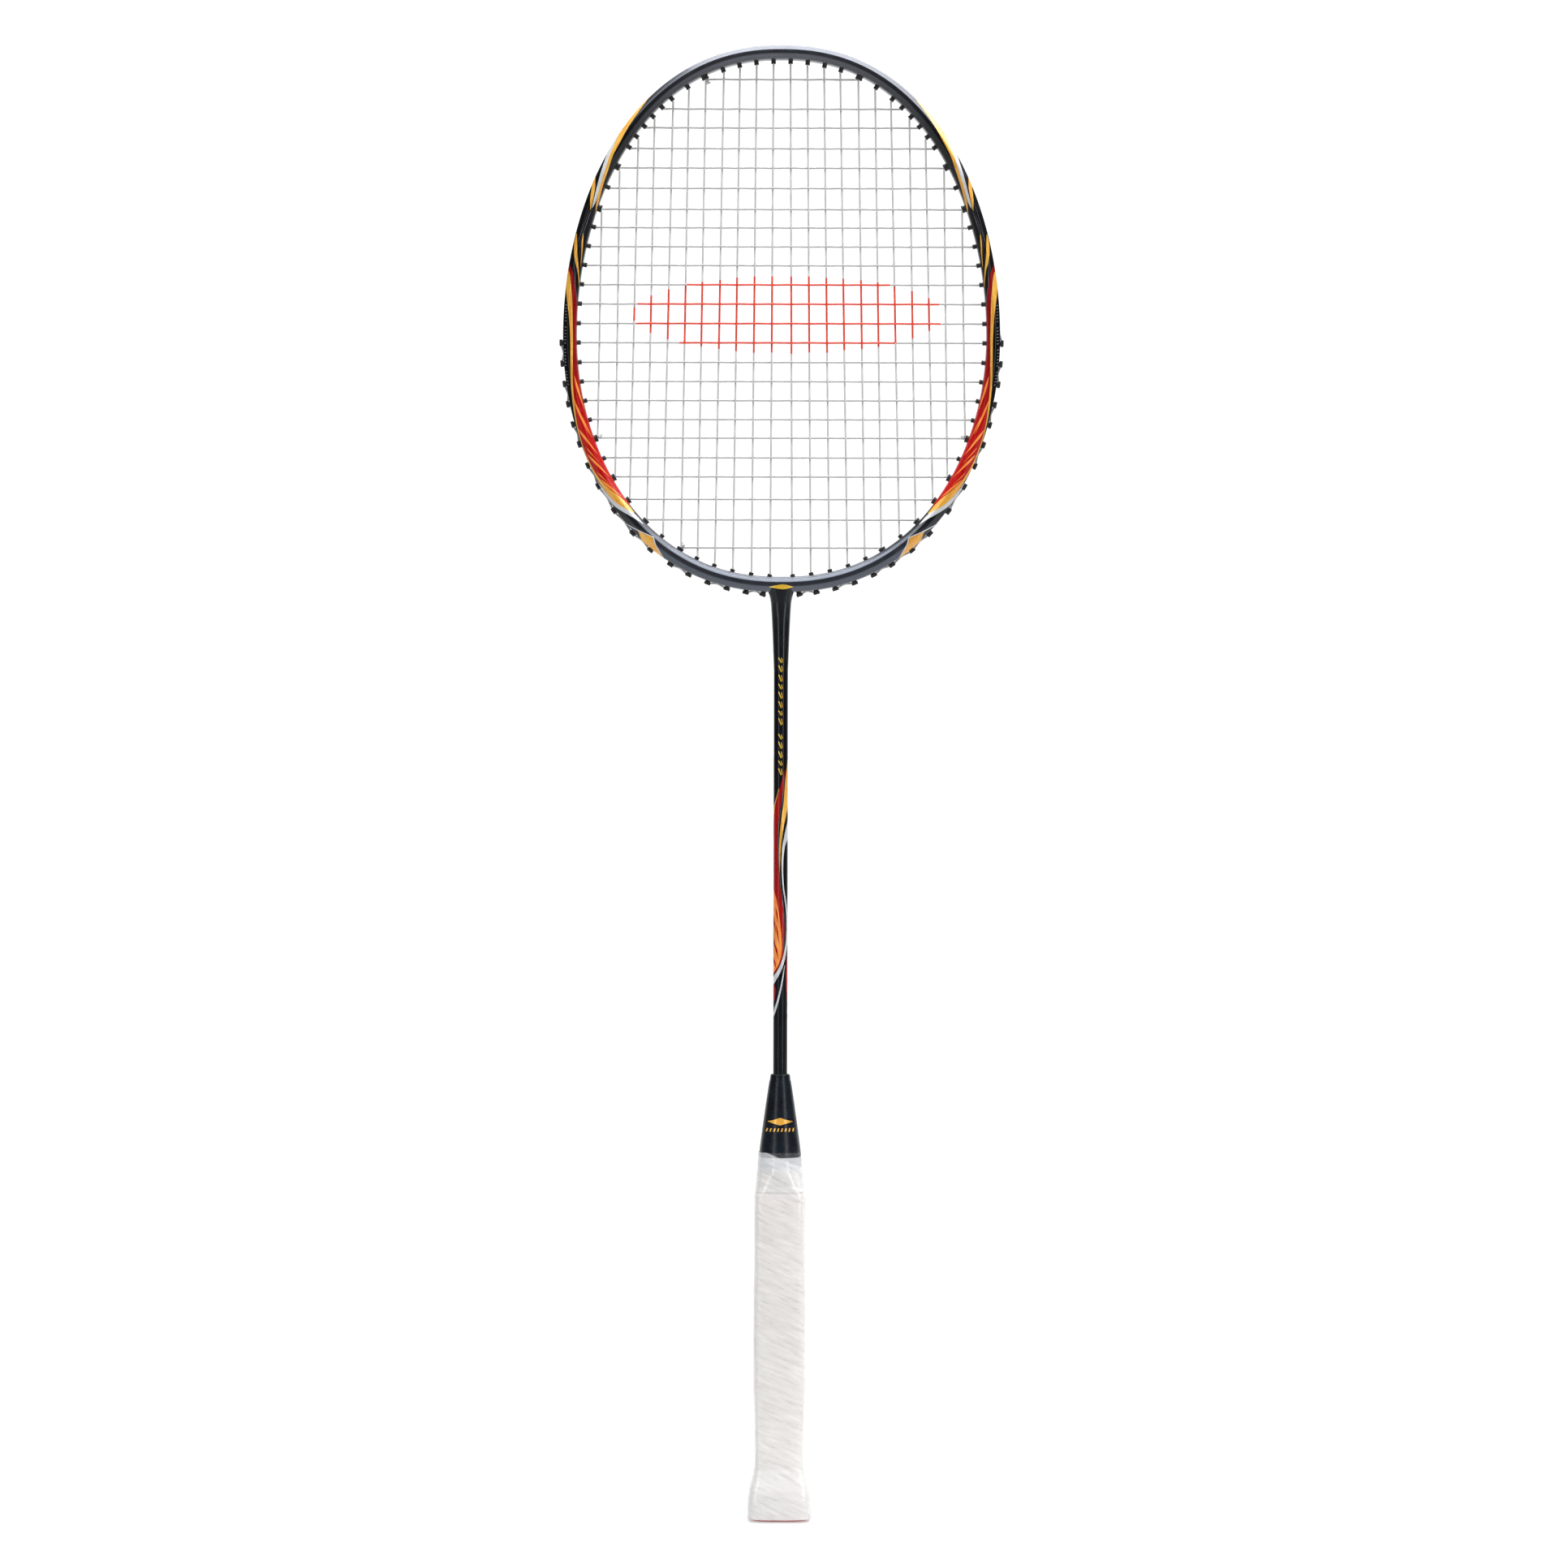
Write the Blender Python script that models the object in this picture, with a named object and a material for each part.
"""Badminton racket, built as the separate pieces it is assembled from.

Row frame: origin at the centre of the flat butt end, +Z along the shaft to the
tip of the head, +X across the head, -Y out of the front of the string bed.
"""
import bisect
import math

import bmesh
import bpy
from mathutils import Vector

MM = 0.001
GAP = 0.3 * MM                    # clearance between pieces that touch

# --- Overall heights, from the butt end -------------------------------------
TOTAL_LENGTH = 675.0 * MM
HEAD_WIDEST_Z = 541.9 * MM
HEAD_BOTTOM_Z = 424.7 * MM
HEAD_WIDTH = 200.2 * MM
HEAD_SQUARENESS = 2.24            # exponent across the head; 2 is an ellipse

# --- Rim tube: an aero box section, grooved round the upper half ------------
RIM_HALF = 3.1 * MM               # half its thickness in the plane of the head
RIM_DEPTH_HALF = 5.2 * MM
THROAT_SWELL = 0.13               # the rim is this share thicker by the throat
STRIP_HALF = 1.9 * MM             # half width of the flats that the holes go through
WALL = 0.9 * MM
GROOVE_DEPTH = 1.9 * MM
GROOVE_LAST_HOLE = 21             # holes below this one have no groove
GROOVE_END_HALF = 0.8 * MM        # half length of the ramp that ends the groove
PEG_CELL_HALF = 1.75 * MM         # rim left plain each side of the throat's middle

# --- String holes of one side, numbered from the tip to the throat ----------
HOLES_PER_SIDE = 38
MAIN_TOP_HOLES = (1, 2, 3, 4, 5, 6, 7, 9, 11, 13, 15)
MAIN_BOTTOM_HOLES = (38, 37, 36, 35, 34, 33, 32, 31, 30, 29, 27)
CROSS_HOLES = (5, 8, 10, *range(12, 32), 33)
# Spacing along the inside of the rim, as (last hole of the run, pitch in mm)
HOLE_RUNS = (
    (1, 3.9), (4, 7.85), (7, 9.05), (12, 5.95), (15, 10.5),
    (27, 9.03), (29, 9.95), (31, 12.45), (33, 10.3), (38, 8.75),
)
LAST_HALF_PITCH = 5.2             # from the last hole to the middle of the throat
FIRST_MAIN_X = 3.9 * MM
THROAT_SLANT = math.radians(22.0)  # the holes by the throat fan out to clear it
SLANT_FADE = 12.0 * MM

# --- Grommets ----------------------------------------------------------------
HOLE_W, HOLE_H = 1.5 * MM, 1.55 * MM        # half sizes along the rim and in depth
BARREL_W, BARREL_H = 1.22 * MM, 1.28 * MM
BORE_W, BORE_H = 0.75 * MM, 0.88 * MM
TIP_REACH = 4.9 * MM                        # barrel tip, from the rim's centre line
WEB_HALF = 1.5 * MM
WEB_THICKNESS = 0.5 * MM
WEB_END = 2.2 * MM                          # web beyond a strip's last holes
HEAD_HALF = 1.5 * MM
HEAD_HEIGHT = 1.4 * MM
GROMMET_STRIPS = {
    "grommet_strip_tip": (-5, 5),
    "grommet_strip_shoulder_left": (-13, -6),
    "grommet_strip_shoulder_right": (6, 13),
    "grommet_strip_side_left": (-21, -14),
    "grommet_strip_side_right": (14, 21),
}

# --- Strings -----------------------------------------------------------------
STRING_RADIUS = 0.35 * MM
STRING_LANE = 0.41 * MM           # mains run this far in front, crosses behind
STRING_CLEAR = 0.45 * MM          # string centre off the grommet tip that it bends round
LANE_CLEAR = 0.55 * MM            # string centre off the web or head that it lies on
KNOT_END = 0.6 * MM

# --- Throat, shaft and handle --------------------------------------------------
SHAFT_RADIUS = 3.25 * MM
SHAFT_BORE = 1.9 * MM
SHAFT_TOP_Z = 389.0 * MM
SHAFT_BOTTOM_Z = 84.0 * MM
SPIGOT_LENGTH = 38.0 * MM
PEG_RADIUS = 0.95 * MM
PEG_HOLE_W = 1.3 * MM
# height, half width and half depth of the throat, from the shaft up to the rim
THROAT_SECTIONS = (
    (389.3, 3.3, 3.3), (396.0, 3.55, 3.5), (404.0, 3.85, 3.75), (412.0, 4.25, 4.15),
    (418.6, 4.7, 4.6), (421.6, 5.0, 4.85), (423.2, 5.25, 4.95), (424.4, 5.4, 4.95),
)

CONE_TOP_Z = 203.9 * MM
CONE_TOP_RADIUS = 4.4 * MM
CONE_BOTTOM_Z = 161.2 * MM
CONE_SHOULDER_Z = 166.3 * MM
CONE_SHOULDER_RADIUS = 9.65 * MM
CONE_SKIRT_RADIUS = 9.25 * MM     # stepped in below the shoulder for the tape
CONE_WALL = 1.5 * MM
CONE_TOP_BEVEL = 0.5 * MM

CAP_HEIGHT = 1.6 * MM
# height and half width of the cap's domed end
CAP_DOME = ((0.0, 9.6), (0.3, 11.6), (0.7, 13.2), (1.1, 14.2), (1.6, 14.8))
CAP_PLUG_RADIUS = 5.0 * MM
CAP_PLUG_TOP = 9.0 * MM
HANDLE_TOP_Z = 160.6 * MM
NOSE_TOP_Z = 188.0 * MM
HANDLE_BORE = SHAFT_RADIUS + GAP
HANDLE_SLIM_Y = 1.15 * MM         # the handle is this much slimmer in depth, each side
FACET_CUT = 0.27                  # corner cut of the octagon, as a share of its half size
ROUND_CUT = 2 - math.sqrt(2)      # the cut of a regular octagon, where it meets the cone
ROUNDING_Z = (149.0 * MM, 160.0 * MM)
WRAP_THICKNESS = 1.7 * MM
TAPE_THICKNESS = 0.35 * MM
FILM_THICKNESS = 0.16 * MM
SKIN_GAP = 0.14 * MM              # between wrap, tape and film
FILM_TOP_Z = 168.2 * MM
TAPE_BOTTOM_Z = 150.4 * MM
# height and half width of the wrapped handle's outside, butt to cone
HANDLE_OUTLINE = (
    (2.2, 14.95), (8.6, 14.9), (13.0, 14.35), (16.0, 13.7), (19.0, 12.85),
    (22.0, 12.25), (27.0, 11.7), (45.0, 11.7), (64.0, 12.2), (100.0, 12.2),
    (118.0, 11.9), (145.0, 11.85), (150.2, 11.6), (153.0, 11.1), (157.0, 10.8),
    (161.0, 10.45), (166.0, 10.15), (168.2, 10.0),
)
STAPLE_Z = 24.5 * MM
STAPLE_SPAN = 7.0 * MM
STAPLE_WIRE = 0.6 * MM
STAPLE_DEPTH = 4.0 * MM
ROUND_SIDES = 20


# --- Scene helpers -------------------------------------------------------------

def clear_scene():
    for old in list(bpy.data.objects):
        bpy.data.objects.remove(old, do_unlink=True)


def material(name, colour, roughness, metallic=0.0):
    mat = bpy.data.materials.new(name)
    mat.use_nodes = True
    shader = mat.node_tree.nodes["Principled BSDF"]
    shader.inputs["Base Color"].default_value = (*colour, 1.0)
    shader.inputs["Roughness"].default_value = roughness
    shader.inputs["Metallic"].default_value = metallic
    return mat


def add_object(name, bm, mat, smooth_angle=30.0):
    """Close a bmesh into a named object with one material."""
    bmesh.ops.recalc_face_normals(bm, faces=bm.faces[:])
    mesh = bpy.data.meshes.new(name)
    bm.to_mesh(mesh)
    bm.free()
    mesh.materials.append(mat)
    mesh.shade_smooth()
    mesh.set_sharp_from_angle(angle=math.radians(smooth_angle))
    obj = bpy.data.objects.new(name, mesh)
    bpy.context.scene.collection.objects.link(obj)
    return obj


def ring_verts(bm, points):
    return [bm.verts.new(point) for point in points]


def skin(bm, ring_a, ring_b):
    """Quads between two closed rings with the same number of vertices."""
    count = len(ring_a)
    for i in range(count):
        j = (i + 1) % count
        bm.faces.new((ring_a[i], ring_a[j], ring_b[j], ring_b[i]))


def loft(bm, rings, cap_first=True, cap_last=True):
    for ring_a, ring_b in zip(rings, rings[1:]):
        skin(bm, ring_a, ring_b)
    if cap_first:
        bm.faces.new(rings[0])
    if cap_last:
        bm.faces.new(list(reversed(rings[-1])))


def turned(bm, profile, sides=ROUND_SIDES, closed=True):
    """Rings about Z from (radius, height) pairs; closed joins the last to the first."""
    rings = []
    for radius, height in profile:
        angles = [2 * math.pi * i / sides for i in range(sides)]
        rings.append(ring_verts(bm, [(radius * math.cos(a), radius * math.sin(a), height)
                                     for a in angles]))
    loft(bm, rings, cap_first=not closed, cap_last=not closed)
    if closed:
        skin(bm, rings[-1], rings[0])
    return rings


# --- The rim's centre line -------------------------------------------------------

def rim_point(t):
    """Centre line of the rim as (x, z): t = 0 at the tip, +pi at the throat by the right."""
    half_width = HEAD_WIDTH / 2 - RIM_HALF
    rise = TOTAL_LENGTH - RIM_HALF - HEAD_WIDEST_Z
    drop = HEAD_WIDEST_Z - HEAD_BOTTOM_Z - RIM_HALF * (1 + THROAT_SWELL)
    across = math.sin(t)
    x = half_width * math.copysign(abs(across) ** (2 / HEAD_SQUARENESS), across)
    up = math.cos(t)
    return Vector((x, HEAD_WIDEST_Z + (rise if up > 0 else drop) * up))


def rim_tangent(t):
    step = 1e-4
    return (rim_point(t + step) - rim_point(t - step)).normalized()


def swell(t):
    """How much thicker the rim is at t, as a factor."""
    return 1 + THROAT_SWELL * max(0.0, -math.cos(t))


def slant(t):
    """How far a hole's axis leans away from the throat, signed by side."""
    if math.cos(t) > 0:
        return 0.0
    x = abs(rim_point(t).x)
    share = min(x / FIRST_MAIN_X, math.exp((FIRST_MAIN_X - x) / SLANT_FADE))
    return math.copysign(THROAT_SLANT * share, t)


def hole_axes(t):
    """Centre, outward hole axis and the direction along the rim, all as (x, z)."""
    tangent = rim_tangent(t)
    normal = Vector((-tangent.y, tangent.x))
    lean = slant(t)
    axis = normal * math.cos(lean) - tangent * math.sin(lean)
    along = tangent * math.cos(lean) + normal * math.sin(lean)
    return rim_point(t), axis, along


def along_rim(t, distance):
    """The parameter that lies a distance further along the centre line."""
    step = 1e-4
    speed = (rim_point(t + step) - rim_point(t - step)).length / (2 * step)
    return t + distance / speed


def rim_place(t, reach, depth=0.0, offset=0.0):
    """A 3-D point: reach outward along the hole axis, offset along the rim."""
    centre, axis, along = hole_axes(t)
    flat = centre + axis * reach + along * offset
    return Vector((flat.x, depth, flat.y))


# --- Where the holes are ------------------------------------------------------------

def hole_parameters():
    """Parameter of every hole on the right, from 1 at the tip to 38 at the throat."""
    distances = []
    travelled = 0.0
    for last_hole, pitch in HOLE_RUNS:
        while len(distances) < last_hole:
            travelled += pitch
            distances.append(travelled)
    whole = travelled + LAST_HALF_PITCH
    steps = 4000
    samples = [math.pi * i / steps for i in range(steps + 1)]
    places = [rim_place(t, -TIP_REACH) for t in samples]
    lengths = [0.0]
    for place, following in zip(places, places[1:]):
        lengths.append(lengths[-1] + (following - place).length)
    shares = [length / lengths[-1] for length in lengths]
    return {hole: samples[bisect.bisect(shares, distance / whole)]
            for hole, distance in enumerate(distances, 1)}


HOLE_T = hole_parameters()


def hole_t(hole):
    """Signed hole number to parameter: negative numbers are on the left."""
    return math.copysign(HOLE_T[abs(hole)], hole)


def is_grooved(hole):
    return abs(hole) <= GROOVE_LAST_HOLE


# --- Rim ---------------------------------------------------------------------------

def rim_cells():
    """Edges of the rim's cells on the right and the hole in each, tip to throat.

    Each edge is (parameter, grooved); each cell holds a hole number, None, or "peg".
    """
    edges = [(0.0, True)]
    cells = []
    for hole in range(1, HOLES_PER_SIDE):
        middle = (HOLE_T[hole] + HOLE_T[hole + 1]) / 2
        cells.append(hole)
        if hole == GROOVE_LAST_HOLE:
            edges.append((along_rim(middle, -GROOVE_END_HALF), True))
            edges.append((along_rim(middle, GROOVE_END_HALF), False))
            cells.append(None)
        else:
            edges.append((middle, is_grooved(hole)))
    throat_edge = along_rim(math.pi, -PEG_CELL_HALF)
    edges.append((throat_edge, False))
    cells.append(HOLES_PER_SIDE)
    return edges, cells


def rim_sections(grooved):
    """Outer and cavity half sections as (reach, depth), outer flat first."""
    floor = RIM_HALF - (GROOVE_DEPTH if grooved else 0.0)
    outer = [
        (floor, STRIP_HALF),
        (RIM_HALF, STRIP_HALF + 0.4 * MM),
        (2.7 * MM, 3.9 * MM),
        (1.2 * MM, RIM_DEPTH_HALF - 0.1 * MM),
        (-0.6 * MM, RIM_DEPTH_HALF),
        (-2.4 * MM, 3.8 * MM),
        (-RIM_HALF, STRIP_HALF),
    ]
    cavity = [
        (floor - WALL, STRIP_HALF),
        (1.6 * MM, 3.6 * MM),
        (-0.5 * MM, RIM_DEPTH_HALF - WALL),
        (-RIM_HALF + WALL, STRIP_HALF),
    ]
    return outer, cavity


def rim_ring(bm, t, half_section):
    """A closed ring of the rim's section at t: behind from outer to inner, then in front."""
    full = list(half_section) + [(reach, -depth) for reach, depth in reversed(half_section)]
    scale = swell(t) / math.cos(slant(t))
    return ring_verts(bm, [rim_place(t, reach * scale, depth) for reach, depth in full])


def hexagon(bm, t, reach_of, half_w, half_h):
    """Six vertices round a hole axis; reach_of gives the reach at an offset along the rim."""
    corners = [(1, 0), (0.5, 1), (-0.5, 1), (-1, 0), (-0.5, -1), (0.5, -1)]
    points = []
    for u, v in corners:
        offset = u * half_w
        points.append(rim_place(t, reach_of(offset), v * half_h, offset))
    return ring_verts(bm, points)


def holed_flat(bm, back_a, back_b, front_b, front_a, ring):
    """Fill the flat between two edges round a hexagonal hole.

    back_a and front_a are on the first edge, back_b and front_b on the next one.
    """
    bm.faces.new((back_b, front_b, ring[0]))
    bm.faces.new((back_b, ring[0], ring[1]))
    bm.faces.new((back_a, back_b, ring[1], ring[2]))
    bm.faces.new((back_a, ring[2], ring[3]))
    bm.faces.new((front_a, back_a, ring[3]))
    bm.faces.new((front_a, ring[3], ring[4]))
    bm.faces.new((front_a, ring[4], ring[5], front_b))
    bm.faces.new((front_b, ring[5], ring[0]))


def plane_reach(t, vert_a, vert_b):
    """Reach along t's axis, as a function of offset, of the flat through two vertices."""
    centre, axis, along = hole_axes(t)
    a = Vector((vert_a.co.x, vert_a.co.z)) - centre
    b = Vector((vert_b.co.x, vert_b.co.z)) - centre
    a_off, a_reach = a.dot(along), a.dot(axis)
    b_off, b_reach = b.dot(along), b.dot(axis)
    rate = (b_reach - a_reach) / (b_off - a_off)
    return lambda offset: a_reach + (offset - a_off) * rate


def wall_hole(bm, t, outside, inside, half_w, half_h):
    """A hole through one wall; outside and inside are the four vertices of its two flats."""
    rings = []
    for back_a, back_b, front_b, front_a in (outside, inside):
        reach_of = plane_reach(t, back_a, back_b)
        ring = hexagon(bm, t, reach_of, half_w, half_h)
        holed_flat(bm, back_a, back_b, front_b, front_a, ring)
        rings.append(ring)
    skin(bm, rings[0], rings[1])


def rim_cell(bm, edge_a, edge_b, hole):
    """Skins, flats and hole of the rim between two edges, each an (outer, cavity) pair."""
    flats = []
    for ring_a, ring_b in zip(edge_a, edge_b):
        half = len(ring_a) // 2
        flats.append((ring_a[0], ring_b[0], ring_b[-1], ring_a[-1]))
        flats.append((ring_a[half - 1], ring_b[half - 1], ring_b[half], ring_a[half]))
        for i in range(len(ring_a) - 1):
            if i != half - 1:
                bm.faces.new((ring_a[i], ring_a[i + 1], ring_b[i + 1], ring_b[i]))
    outer_out, outer_in, cavity_out, cavity_in = flats
    if hole == "peg":
        wall_hole(bm, math.pi, outer_out, cavity_out, PEG_HOLE_W, PEG_HOLE_W)
        bm.faces.new(outer_in)
        bm.faces.new(cavity_in)
    elif hole is None:
        for flat in flats:
            bm.faces.new(flat)
    else:
        t = hole_t(hole)
        wall_hole(bm, t, outer_out, cavity_out, HOLE_W, HOLE_H)
        wall_hole(bm, t, cavity_in, outer_in, HOLE_W, HOLE_H)


def make_head_frame(mat):
    bm = bmesh.new()
    edges, cells = rim_cells()
    left = [(-t, grooved) for t, grooved in reversed(edges[1:])]
    all_edges = left + edges
    all_cells = [-hole if hole else None for hole in reversed(cells)] + cells + ["peg"]
    rings = []
    for t, grooved in all_edges:
        outer, cavity = rim_sections(grooved)
        rings.append((rim_ring(bm, t, outer), rim_ring(bm, t, cavity)))
    rings.append(rings[0])
    for edge_a, edge_b, hole in zip(rings, rings[1:], all_cells):
        rim_cell(bm, edge_a, edge_b, hole)
    return add_object("head_frame", bm, mat, 25.0)


# --- Grommets ------------------------------------------------------------------------

def web_reach():
    return RIM_HALF - GROOVE_DEPTH + GAP


def head_reach(t):
    """Underside of a separate grommet's head, clear of the rim it leans against."""
    lean = abs(slant(t))
    face = RIM_HALF * swell(t) + GAP
    return face / math.cos(lean) + HEAD_HALF * math.tan(lean)


def barrel(bm, t, top_ring, bore_top):
    """Barrel below a head or web: outside, tip and bore down from the given rings."""
    tip_ring = hexagon(bm, t, lambda offset: -TIP_REACH, BARREL_W, BARREL_H)
    bore_ring = hexagon(bm, t, lambda offset: -TIP_REACH, BORE_W, BORE_H)
    skin(bm, top_ring, tip_ring)
    skin(bm, tip_ring, bore_ring)
    skin(bm, bore_ring, bore_top)


def make_grommet_strip(name, first, last, mat):
    """Linked grommets whose web lies in the groove."""
    bm = bmesh.new()
    holes = [hole for hole in range(first, last + 1) if hole != 0]
    edges = [along_rim(hole_t(first), -WEB_END)]
    edges += [(hole_t(a) + hole_t(b)) / 2 for a, b in zip(holes, holes[1:])]
    edges.append(along_rim(hole_t(last), WEB_END))
    bottom, top = web_reach(), web_reach() + WEB_THICKNESS
    section = ((top, WEB_HALF), (bottom, WEB_HALF), (bottom, -WEB_HALF), (top, -WEB_HALF))
    rings = [ring_verts(bm, [rim_place(t, reach, depth) for reach, depth in section])
             for t in edges]
    for ring_a, ring_b, hole in zip(rings, rings[1:], holes):
        t = hole_t(hole)
        bm.faces.new((ring_a[0], ring_a[1], ring_b[1], ring_b[0]))
        bm.faces.new((ring_a[2], ring_a[3], ring_b[3], ring_b[2]))
        bore_top = hexagon(bm, t, plane_reach(t, ring_a[0], ring_b[0]), BORE_W, BORE_H)
        root = hexagon(bm, t, plane_reach(t, ring_a[1], ring_b[1]), BARREL_W, BARREL_H)
        holed_flat(bm, ring_a[0], ring_b[0], ring_b[3], ring_a[3], bore_top)
        holed_flat(bm, ring_a[1], ring_b[1], ring_b[2], ring_a[2], root)
        barrel(bm, t, root, bore_top)
    bm.faces.new(rings[0])
    bm.faces.new(list(reversed(rings[-1])))
    return add_object(name, bm, mat)


def make_grommet(name, hole, mat):
    """One grommet of the lower rim, with a square head on the outside."""
    bm = bmesh.new()
    t = hole_t(hole)
    bottom = head_reach(t)
    top = bottom + HEAD_HEIGHT
    rings = []
    for reach in (top, bottom):
        corners = [(-1, 1), (1, 1), (1, -1), (-1, -1)]
        rings.append(ring_verts(bm, [rim_place(t, reach, v * HEAD_HALF, u * HEAD_HALF)
                                     for u, v in corners]))
    skin(bm, rings[0], rings[1])
    bore_top = hexagon(bm, t, lambda offset: top, BORE_W, BORE_H)
    root = hexagon(bm, t, lambda offset: bottom, BARREL_W, BARREL_H)
    holed_flat(bm, *rings[0], bore_top)
    holed_flat(bm, *rings[1], root)
    barrel(bm, t, root, bore_top)
    return add_object(name, bm, mat)


# --- Strings ----------------------------------------------------------------------------

def lane_reach(hole):
    """Reach of the string's centre where it lies outside a hole."""
    if is_grooved(hole):
        return web_reach() + WEB_THICKNESS + LANE_CLEAR
    return head_reach(hole_t(hole)) + HEAD_HEIGHT + LANE_CLEAR


def through(hole, depth, outward):
    """The two points of a string that passes through a grommet."""
    t = hole_t(hole)
    points = [rim_place(t, -TIP_REACH - STRING_CLEAR, depth),
              rim_place(t, lane_reach(hole), depth)]
    return points if outward else points[::-1]


def bridge(hole_a, hole_b, depth):
    """Points between two holes on the outside of the rim, one on each cell edge."""
    step = 1 if hole_b > hole_a else -1
    stops = [hole for hole in range(hole_a, hole_b + step, step) if hole != 0]
    points = []
    for a, b in zip(stops, stops[1:]):
        if a != hole_a:
            points.append(rim_place(hole_t(a), lane_reach(a), depth))
        if len(stops) > 2 or is_grooved(a) != is_grooved(b):
            middle = (hole_t(a) + hole_t(b)) / 2
            points.append(rim_place(middle, max(lane_reach(a), lane_reach(b)), depth))
    return points


def knotted_end(hole, depth):
    """A string's end, inside the outer mouth of its last grommet."""
    return rim_place(hole_t(hole), lane_reach(hole) - LANE_CLEAR - KNOT_END, depth)


def string_points(stops, depth):
    """A string's path through its holes in order, in pairs across the head."""
    points = [knotted_end(stops[0], depth)]
    points.append(through(stops[0], depth, False)[1])
    for number, (a, b) in enumerate(zip(stops, stops[1:])):
        if number % 2 == 0:
            continue
        points += through(a, depth, True)
        points += bridge(a, b, depth)
        points += through(b, depth, False)
    points.append(through(stops[-1], depth, True)[0])
    points.append(knotted_end(stops[-1], depth))
    return points


def main_stops():
    """Holes of the mains from the left outer one, over the tip, to the right outer one."""
    side = []
    for number, (top, bottom) in enumerate(zip(MAIN_TOP_HOLES, MAIN_BOTTOM_HOLES)):
        side += (top, bottom) if number % 2 == 0 else (bottom, top)
    return [-hole for hole in reversed(side)] + side


def cross_stops():
    stops = []
    for number, hole in enumerate(CROSS_HOLES):
        stops += (-hole, hole) if number % 2 == 0 else (hole, -hole)
    return stops


def make_string(name, stops, depth, mat):
    points = string_points(stops, depth)
    curve = bpy.data.curves.new(name, "CURVE")
    curve.dimensions = "3D"
    curve.bevel_depth = STRING_RADIUS
    curve.bevel_resolution = 0
    curve.use_fill_caps = True
    spline = curve.splines.new("POLY")
    spline.points.add(len(points) - 1)
    for spot, point in zip(spline.points, points):
        spot.co = (*point, 1.0)
    curve.materials.append(mat)
    obj = bpy.data.objects.new(name, curve)
    bpy.context.scene.collection.objects.link(obj)
    return obj


# --- Throat and shaft ---------------------------------------------------------------------

def make_t_joint(mat):
    """Throat between shaft and rim, with a spigot down the shaft and a peg up into the rim."""
    bm = bmesh.new()
    base = THROAT_SECTIONS[0][0] * MM
    spigot = SHAFT_BORE - GAP
    chamfer = 0.3 * MM
    sections = [(base - SPIGOT_LENGTH, spigot - chamfer, spigot - chamfer),
                (base - SPIGOT_LENGTH + chamfer, spigot, spigot),
                (base, spigot, spigot)]
    sections += [(z * MM, half_x * MM, half_y * MM) for z, half_x, half_y in THROAT_SECTIONS]
    top = THROAT_SECTIONS[-1][0] * MM
    sections += [(top, PEG_RADIUS, PEG_RADIUS),
                 (top + GAP + WALL + 0.6 * MM, PEG_RADIUS, PEG_RADIUS)]
    rings = []
    for z, half_x, half_y in sections:
        angles = [2 * math.pi * (i + 0.5) / ROUND_SIDES for i in range(ROUND_SIDES)]
        rings.append(ring_verts(bm, [(half_x * math.cos(a), half_y * math.sin(a), z)
                                     for a in angles]))
    loft(bm, rings)
    return add_object("t_joint", bm, mat)


def make_shaft(mat):
    bm = bmesh.new()
    turned(bm, [(SHAFT_RADIUS, SHAFT_TOP_Z), (SHAFT_RADIUS, SHAFT_BOTTOM_Z),
                (SHAFT_BORE, SHAFT_BOTTOM_Z), (SHAFT_BORE, SHAFT_TOP_Z)])
    return add_object("shaft", bm, mat)


def make_cone_cap(mat):
    """Tapered plastic cap over the handle's nose, open below, the shaft through its top."""
    bm = bmesh.new()
    bore = SHAFT_RADIUS + GAP
    inner_shoulder = CONE_SHOULDER_RADIUS - CONE_WALL
    turned(bm, [
        (CONE_TOP_RADIUS - CONE_TOP_BEVEL, CONE_TOP_Z),
        (CONE_TOP_RADIUS, CONE_TOP_Z - CONE_TOP_BEVEL),
        (CONE_SHOULDER_RADIUS, CONE_SHOULDER_Z),
        (CONE_SKIRT_RADIUS, CONE_SHOULDER_Z),
        (CONE_SKIRT_RADIUS, CONE_BOTTOM_Z),
        (inner_shoulder, CONE_BOTTOM_Z),
        (inner_shoulder, CONE_SHOULDER_Z + 1.0 * MM),
        (bore + 1.6 * MM, NOSE_TOP_Z + 1.0 * MM),
        (bore, NOSE_TOP_Z + 1.6 * MM),
        (bore, CONE_TOP_Z),
    ])
    return add_object("cone_cap", bm, mat)


# --- Handle ---------------------------------------------------------------------------------

def octagon(half_x, height):
    """Eight points of the handle's section, turning regular towards the cone."""
    low, high = ROUNDING_Z
    share = min(max((height - low) / (high - low), 0.0), 1.0)
    half_y = half_x - HANDLE_SLIM_Y * (1 - share)
    cut = FACET_CUT + (ROUND_CUT - FACET_CUT) * share
    cut_x, cut_y = half_x * cut, half_y * cut
    quarter = [(half_x, half_y - cut_y), (half_x - cut_x, half_y)]
    points = quarter + [(-x, y) for x, y in reversed(quarter)]
    points += [(-x, -y) for x, y in quarter] + [(x, -y) for x, y in reversed(quarter)]
    return [(x, y, height) for x, y in points]


def outline_half(height):
    """Half width of the wrapped handle at a height in metres."""
    z = height / MM
    for (z0, w0), (z1, w1) in zip(HANDLE_OUTLINE, HANDLE_OUTLINE[1:]):
        if z <= z1:
            return (w0 + (w1 - w0) * max(z - z0, 0.0) / (z1 - z0)) * MM
    return HANDLE_OUTLINE[-1][1] * MM


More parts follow.
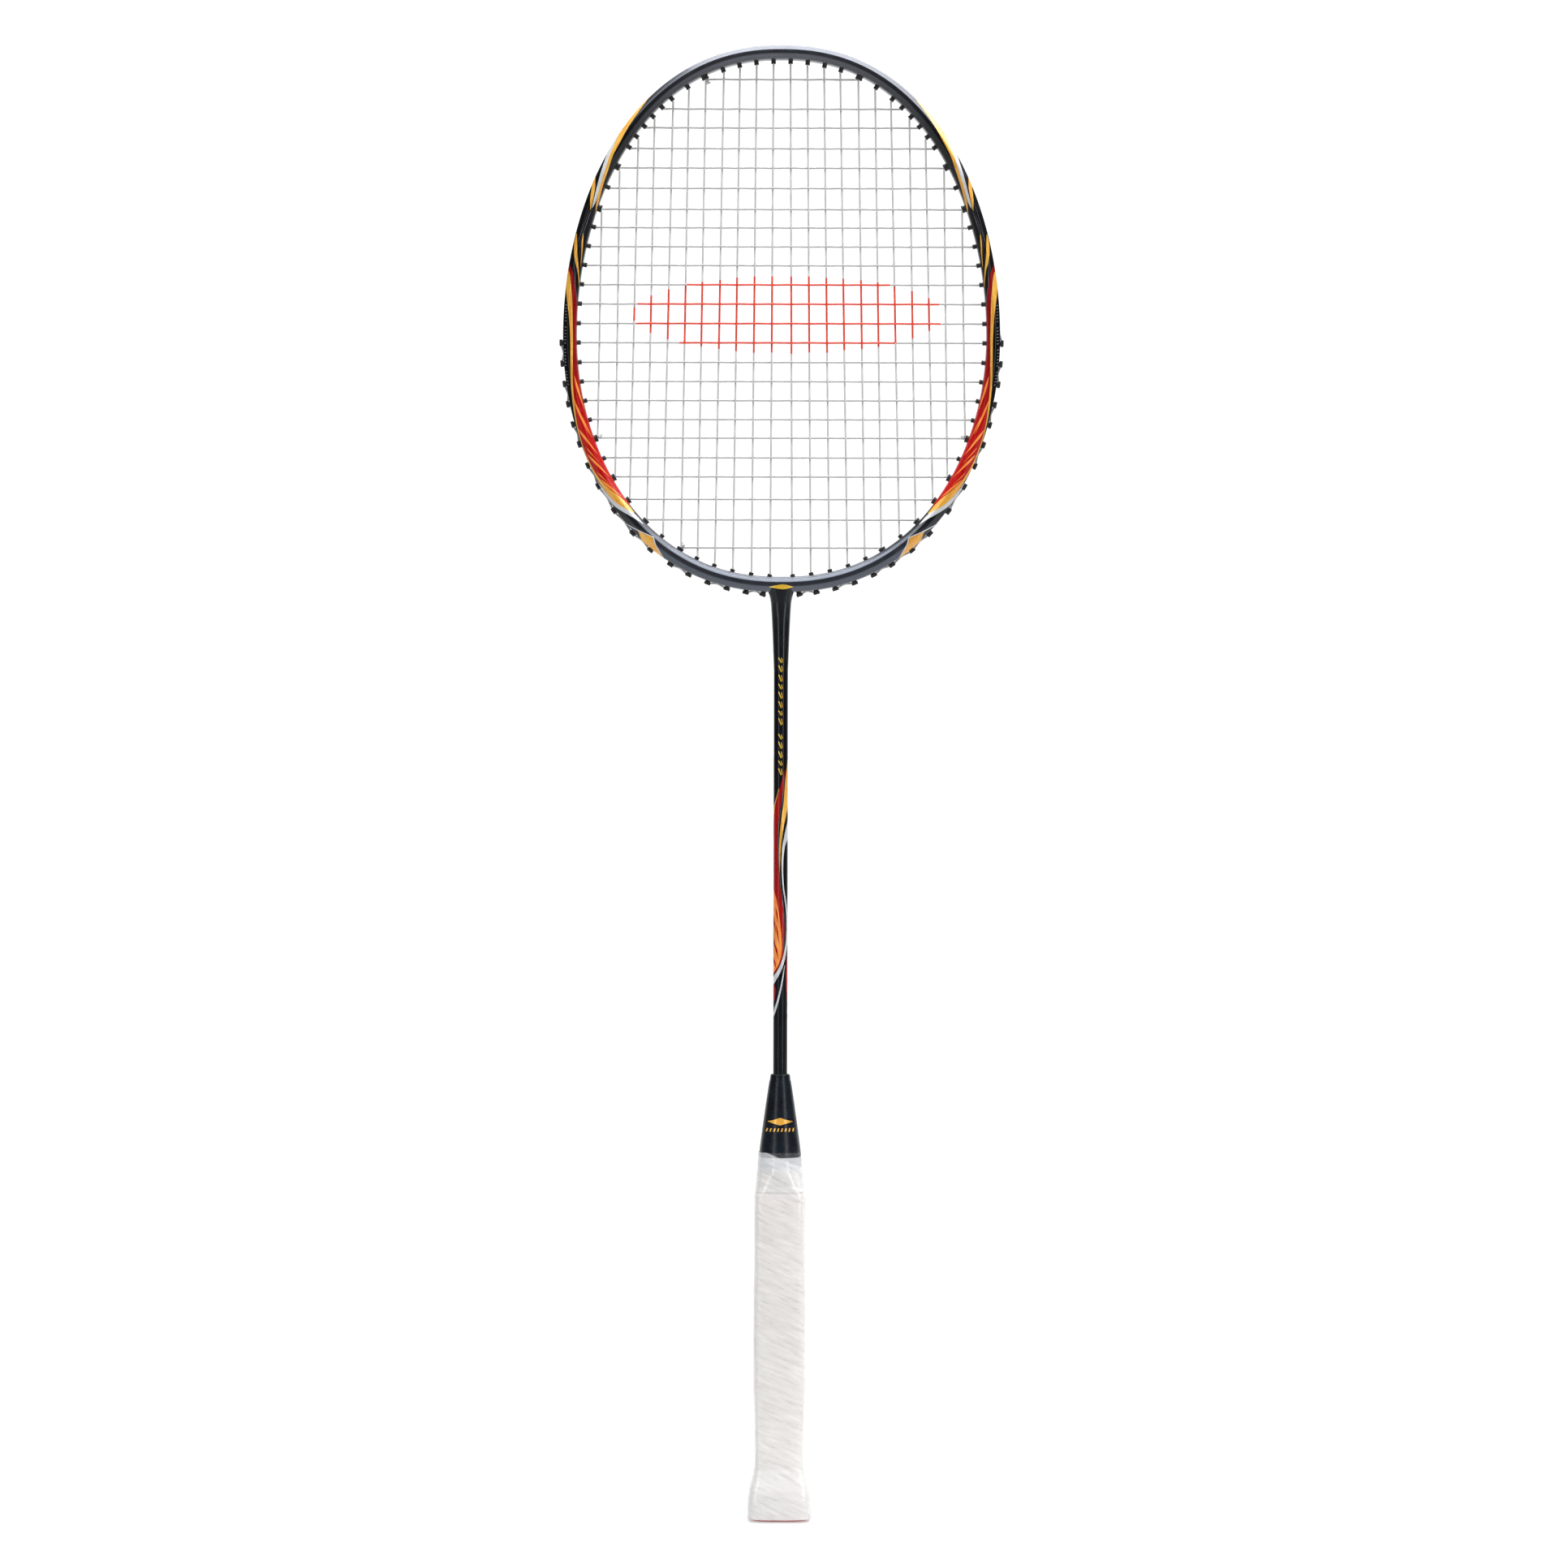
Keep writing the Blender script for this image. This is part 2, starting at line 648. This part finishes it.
def handle_heights(low, high):
    middle = [z * MM for z, _ in HANDLE_OUTLINE if low < z * MM < high]
    return [low] + middle + [high]


def octagon_sleeve(name, low, high, outside, inside, mat):
    """A tube of octagonal section; outside and inside give the half width at a height."""
    bm = bmesh.new()
    heights = handle_heights(low, high)
    rings = [ring_verts(bm, octagon(outside(z), z)) for z in reversed(heights)]
    rings += [ring_verts(bm, octagon(inside(z), z)) for z in heights]
    loft(bm, rings, cap_first=False, cap_last=False)
    skin(bm, rings[-1], rings[0])
    return add_object(name, bm, mat)


def wrap_outside(z):
    hidden = TAPE_THICKNESS + SKIN_GAP if z > TAPE_BOTTOM_Z - 1.0 * MM else 0.0
    return outline_half(z) - FILM_THICKNESS - SKIN_GAP - hidden


def core_outside(z):
    return outline_half(z) - WRAP_THICKNESS - FILM_THICKNESS - 2 * SKIN_GAP


def make_handle_core(mat):
    """Wooden octagon, flared at the butt, turned to a nose at the top, bored for the shaft."""
    bm = bmesh.new()
    bottom = CAP_HEIGHT + GAP
    heights = handle_heights(bottom, HANDLE_TOP_Z)
    rings = [ring_verts(bm, octagon(core_outside(z), z)) for z in heights]

    def round_ring(radius, height):
        angles = [math.radians(22.5 + 45 * i) for i in range(8)]
        return ring_verts(bm, [(radius * math.cos(a), radius * math.sin(a), height)
                               for a in angles])

    nose = CONE_SHOULDER_RADIUS - CONE_WALL - GAP
    nose_tip = HANDLE_BORE + 1.1 * MM
    rings += [round_ring(nose, HANDLE_TOP_Z), round_ring(nose, CONE_SHOULDER_Z),
              round_ring(nose_tip, NOSE_TOP_Z), round_ring(HANDLE_BORE, NOSE_TOP_Z),
              round_ring(HANDLE_BORE, SHAFT_BOTTOM_Z - GAP)]
    socket = CAP_PLUG_RADIUS + GAP
    bm.faces.new(list(rings[-1]))
    loft(bm, rings, cap_first=False, cap_last=False)
    low_ring, high_ring = round_ring(socket, bottom), round_ring(socket, CAP_PLUG_TOP + GAP)
    skin(bm, rings[0], low_ring)
    skin(bm, low_ring, high_ring)
    bm.faces.new(high_ring)
    core = add_object("handle_core", bm, mat)
    cut_staple_slots(core)
    return core


def box(bm, low, high):
    made = bmesh.ops.create_cube(bm, size=1.0)["verts"]
    size = [b - a for a, b in zip(low, high)]
    centre = [(a + b) / 2 for a, b in zip(low, high)]
    bmesh.ops.scale(bm, vec=size, verts=made)
    bmesh.ops.translate(bm, vec=centre, verts=made)


def staple_leg_boxes(grow):
    """Corners of the staple's two legs, grown by a clearance."""
    face = core_outside(STAPLE_Z) - HANDLE_SLIM_Y
    for side in (-1, 1):
        x = side * (STAPLE_SPAN - STAPLE_WIRE) / 2
        half = STAPLE_WIRE / 2 + grow
        yield ((x - half, face - STAPLE_DEPTH - grow, STAPLE_Z - half),
               (x + half, face + 2.0 * MM, STAPLE_Z + half))


def cut_staple_slots(core):
    for number, (low, high) in enumerate(staple_leg_boxes(0.2 * MM)):
        bm = bmesh.new()
        box(bm, low, high)
        cutter = add_object("staple_slot_cutter_%d" % number, bm, core.data.materials[0])
        cutter.hide_render = True
        cutter.display_type = "WIRE"
        cut = core.modifiers.new("staple_slot_%d" % number, "BOOLEAN")
        cut.operation = "DIFFERENCE"
        cut.solver = "EXACT"
        cut.object = cutter


def make_staple(mat):
    """Staple that holds the start of the wrap: a crown and two legs, one bent wire."""
    bm = bmesh.new()
    face = core_outside(STAPLE_Z) - HANDLE_SLIM_Y
    half_span, half_wire = STAPLE_SPAN / 2, STAPLE_WIRE / 2
    crown, tip = face + 0.75 * MM, face - STAPLE_DEPTH
    under = crown - STAPLE_WIRE
    leg = half_span - STAPLE_WIRE
    outline = [(-half_span, tip), (-half_span, crown), (half_span, crown), (half_span, tip),
               (leg, tip), (leg, under), (-leg, under), (-leg, tip)]
    rings = [ring_verts(bm, [(x, y, z) for x, y in outline])
             for z in (STAPLE_Z - half_wire, STAPLE_Z + half_wire)]
    loft(bm, rings)
    return add_object("grip_staple", bm, mat)


def wrap_inside(z):
    return core_outside(z) + SKIN_GAP


def film_inside(z):
    return outline_half(z) - FILM_THICKNESS


def tape_outside(z):
    return film_inside(z) - SKIN_GAP


def tape_inside(z):
    return tape_outside(z) - TAPE_THICKNESS


def make_grip_wrap(mat):
    """The wrap, from just above the butt cap to under the finishing tape."""
    low, high = CAP_HEIGHT + GAP, HANDLE_TOP_Z - 0.6 * MM
    wrap = octagon_sleeve("grip_wrap", low, high, wrap_outside, wrap_inside, mat)
    bm = bmesh.new()
    face = core_outside(STAPLE_Z) - HANDLE_SLIM_Y
    half_x, half_z = STAPLE_SPAN / 2 + GAP, STAPLE_WIRE / 2 + GAP
    box(bm, (-half_x, face - 1.0 * MM, STAPLE_Z - half_z),
        (half_x, face + 0.75 * MM + GAP, STAPLE_Z + half_z))
    cutter = add_object("staple_recess_cutter", bm, mat)
    cutter.hide_render = True
    cutter.display_type = "WIRE"
    cut = wrap.modifiers.new("staple_recess", "BOOLEAN")
    cut.operation = "DIFFERENCE"
    cut.solver = "EXACT"
    cut.object = cutter
    return wrap


def make_finishing_tape(mat):
    """Tape that closes the wrap's top edge and laps on to the cone."""
    return octagon_sleeve("finishing_tape", TAPE_BOTTOM_Z, CONE_SHOULDER_Z - 0.2 * MM,
                          tape_outside, tape_inside, mat)


def make_protective_film(mat):
    """Clear film drawn over the whole wrapped grip, from the butt on to the cone."""
    return octagon_sleeve("protective_film", CAP_HEIGHT + 0.5 * MM, FILM_TOP_Z, outline_half,
                          film_inside, mat)


def make_butt_cap(mat):
    """Domed end plate with a plug that sits in the handle's socket."""
    bm = bmesh.new()
    rings = [ring_verts(bm, octagon(half * MM, z * MM)) for z, half in CAP_DOME]
    for radius, z in ((CAP_PLUG_RADIUS, CAP_HEIGHT), (CAP_PLUG_RADIUS, CAP_PLUG_TOP - 0.8 * MM),
                      (CAP_PLUG_RADIUS - 0.8 * MM, CAP_PLUG_TOP)):
        angles = [math.radians(22.5 + 45 * i) for i in range(8)]
        rings.append(ring_verts(bm, [(radius * math.cos(a), radius * math.sin(a), z)
                                     for a in angles]))
    loft(bm, rings)
    return add_object("butt_cap", bm, mat)


# --- Assembly --------------------------------------------------------------------------------

def build():
    clear_scene()
    paint = material("rim_paint", (0.035, 0.042, 0.055), 0.28, 0.45)
    shaft_paint = material("shaft_paint", (0.012, 0.014, 0.018), 0.22, 0.35)
    nylon = material("grommet_nylon", (0.012, 0.012, 0.013), 0.5)
    gut = material("string_nylon", (0.82, 0.82, 0.84), 0.35)
    cone = material("cone_plastic", (0.018, 0.022, 0.03), 0.42)
    wood = material("handle_wood", (0.55, 0.38, 0.22), 0.6)
    leather = material("grip_polyurethane", (0.78, 0.75, 0.7), 0.6)
    white_tape = material("tape_vinyl", (0.86, 0.87, 0.88), 0.35)
    clear = material("film_clear", (0.9, 0.9, 0.9), 0.1)
    red = material("butt_plastic", (0.45, 0.03, 0.02), 0.4)
    steel = material("staple_steel", (0.6, 0.6, 0.62), 0.3, 1.0)

    make_head_frame(paint)
    make_t_joint(paint)
    make_shaft(shaft_paint)
    make_cone_cap(cone)
    make_handle_core(wood)
    make_butt_cap(red)
    make_staple(steel)
    make_grip_wrap(leather)
    make_finishing_tape(white_tape)
    make_protective_film(clear)
    for name, (first, last) in GROMMET_STRIPS.items():
        make_grommet_strip(name, first, last, nylon)
    for hole in range(GROOVE_LAST_HOLE + 1, HOLES_PER_SIDE + 1):
        make_grommet("grommet_left_%d" % hole, -hole, nylon)
        make_grommet("grommet_right_%d" % hole, hole, nylon)
    make_string("string_mains", main_stops(), -STRING_LANE, gut)
    make_string("string_crosses", cross_stops(), STRING_LANE, gut)


build()
